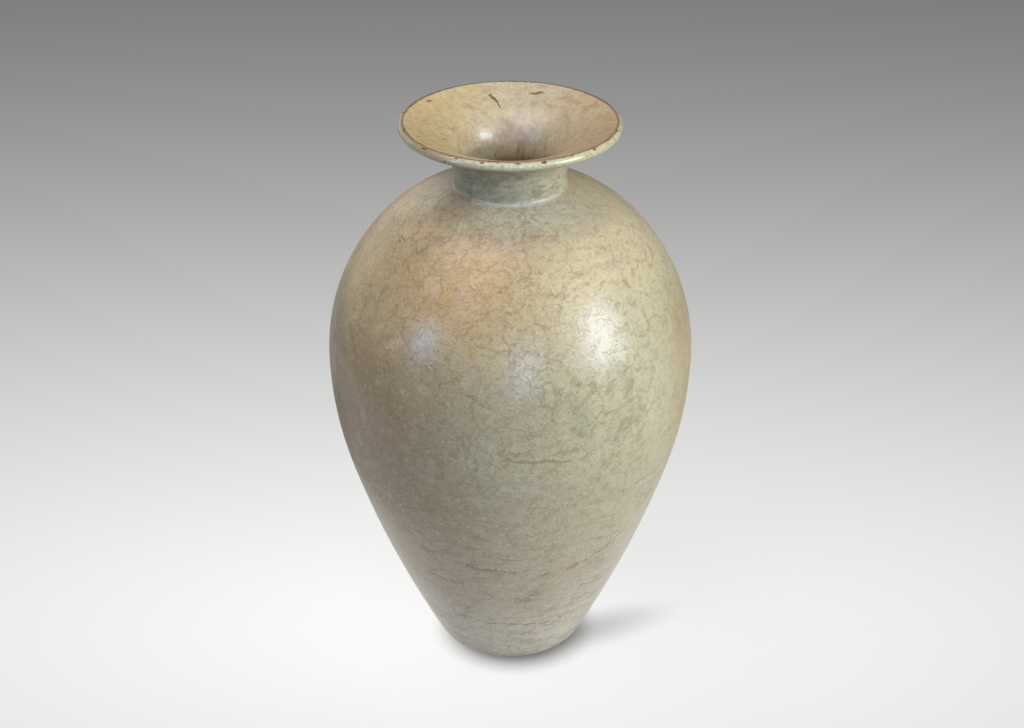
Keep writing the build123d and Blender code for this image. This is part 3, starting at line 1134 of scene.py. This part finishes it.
def dress(pieces, material):
    """Gives every slot of the pieces one material."""
    for piece in pieces:
        if not piece.material_slots:
            piece.data.materials.append(material)
        for slot in piece.material_slots:
            slot.material = material


clay_pieces = [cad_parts[node] for node in ("lower_body", "upper_body", "neck_and_lip")]
slip_pieces = [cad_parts[node] for node in ("body_joint_slip", "neck_joint_slip")]
dress(outer_pieces, outer_finish())
dress(inner_pieces, inner_finish())
dress(clay_pieces, clay_finish("fired_stoneware", CLAY_BROWN, SLIP_BROWN, 0.7))
dress(slip_pieces, clay_finish("fired_slip", SLIP_BROWN, RIM_BROWN, 0.75))


def floor_finish():
    """Matt pale floor. Its paint darkens away from the vase: far + (near - far) exp(-(d / fade)^power), where
    d is the distance, narrowed along x. Cameras and reflections see only a share of the paint, so that broad
    cast shadows are faint, and a glow for the rest: far + (near - far) exp(-d / fade), and the unseen paint
    in a light that fades in the same way. The glow is dimmed in a ring of painted contact shadow at the
    foot and in a soft painted shadow streak beside it."""
    f = Finish("pale_floor")
    place = f.node("ShaderNodeTexCoord", {}, {}, "Object")
    away = f.vector("LENGTH", f.vector("MULTIPLY", place, (FLOOR_WIDE, 1, 0)), output="Value")
    fall = f.math("EXPONENT", f.math("POWER", away / FLOOR_FADE, FLOOR_POWER) * -1)
    paint = FLOOR_FAR + (FLOOR_NEAR - FLOOR_FAR) * fall
    glow = GLOW_FAR + (GLOW_NEAR - GLOW_FAR) * f.math("EXPONENT", away / -GLOW_FADE)
    unseen = 1 - SEEN_SHARE
    glow = glow + paint * unseen * FLOOR_LIGHT * f.math("EXPONENT", away / -FLOOR_LIGHT_FADE)
    # Painted contact shadow: the glow dims in a ring round the foot
    from_foot = f.vector("DISTANCE", place, SHADOW_RING_MIDDLE, output="Value")
    glow = glow * (1 - SHADOW_RING_DIM * f.smooth(from_foot, SHADOW_RING_FULL, SHADOW_RING_START))
    # Painted shadow streak to the right of the foot
    streak = f.measure(place, (SHADOW_STREAK_LONG, SHADOW_STREAK_WIDE, 1), (0, 0, SHADOW_STREAK_TURN), SHADOW_STREAK_START)
    oval = f.smooth(f.vector("LENGTH", streak, output="Value"), 1, 0)
    glow = glow * (1 - SHADOW_STREAK_SHADE * (oval * f.smooth(f.parts(streak)[0], *SHADOW_STREAK_HEAD)))
    path = f.node("ShaderNodeLightPath", {}, {})
    seen = f.most([Signal(f, path.socket.node.outputs[kind]) for kind in SEEN_RAYS])
    f.feed_shader({
        "Base Color": f.grey(paint * (1 - unseen * seen)),
        "Emission Color": f.grey(glow * seen),
        "Emission Strength": 1.0,
        "Roughness": 1.0,
        "Specular IOR Level": 0.0,
    })
    return f.material


def studio_floor():
    """One level square under the vase."""
    mesh = bpy.data.meshes.new("studio_floor")
    corners = [(-1, -1), (1, -1), (1, 1), (-1, 1)]
    mesh.from_pydata([(x * FLOOR_HALF, y * FLOOR_HALF, 0) for x, y in corners], [], [(0, 1, 2, 3)])
    floor = bpy.data.objects.new("studio_floor", mesh)
    bpy.context.scene.collection.objects.link(floor)
    mesh.materials.append(floor_finish())


def lit_group(name, pieces):
    """Pieces for a lamp that is screened off from everything else."""
    group = bpy.data.collections.new(name)
    for piece in pieces:
        group.objects.link(piece)
    return group


def window_lamp(name, target, direction, size, strength, colour, lit):
    """A soft window of light that faces a point of the vase from a direction. It lights one group, or
    everything if there is no group."""
    data = bpy.data.lights.new(name, "AREA")
    data.shape = "RECTANGLE"
    data.size, data.size_y = size
    data.energy = strength
    data.color = linear(colour)[:3]
    lamp = bpy.data.objects.new(name, data)
    way = np.array(direction) / np.linalg.norm(direction)
    lamp.location = np.array(target) * MM + way * LAMP_AWAY
    lamp.rotation_euler = (np.arccos(way[2]), 0, np.arctan2(way[0], -way[1]))
    lamp.visible_camera = False
    lamp.light_linking.receiver_collection = lit
    bpy.context.scene.collection.objects.link(lamp)


def room_light():
    """Even light from all round."""
    world = bpy.data.worlds.new("room_light")
    world.use_nodes = True
    background = world.node_tree.nodes["Background"]
    background.inputs["Color"].default_value = (1, 1, 1, 1)
    background.inputs["Strength"].default_value = ROOM_LIGHT
    bpy.context.scene.world = world


def photo_camera():
    """The camera at the photograph's viewing angle."""
    data = bpy.data.cameras.new("camera")
    data.sensor_width = CAMERA_SENSOR
    data.lens = CAMERA_LENS
    camera = bpy.data.objects.new("camera", data)
    camera.location = CAMERA_PLACE
    camera.rotation_euler = (FLAT_UP - CAMERA_PITCH, 0, 0)
    bpy.context.scene.collection.objects.link(camera)
    bpy.context.scene.camera = camera


studio_floor()
lit_pieces = {
    "vase_pieces": [*outer_pieces, *inner_pieces, *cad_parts.values()],
    "mouth_pieces": inner_pieces,
    "outer_shell": outer_pieces,
}
lit_groups = {name: lit_group(name, pieces) for name, pieces in lit_pieces.items()}
for name, (target, direction, size, strength, colour, lit) in LAMPS.items():
    window_lamp(name, target, direction, size, strength, colour, lit_groups.get(lit))
room_light()
photo_camera()
bpy.context.scene.view_settings.view_transform = "Standard"
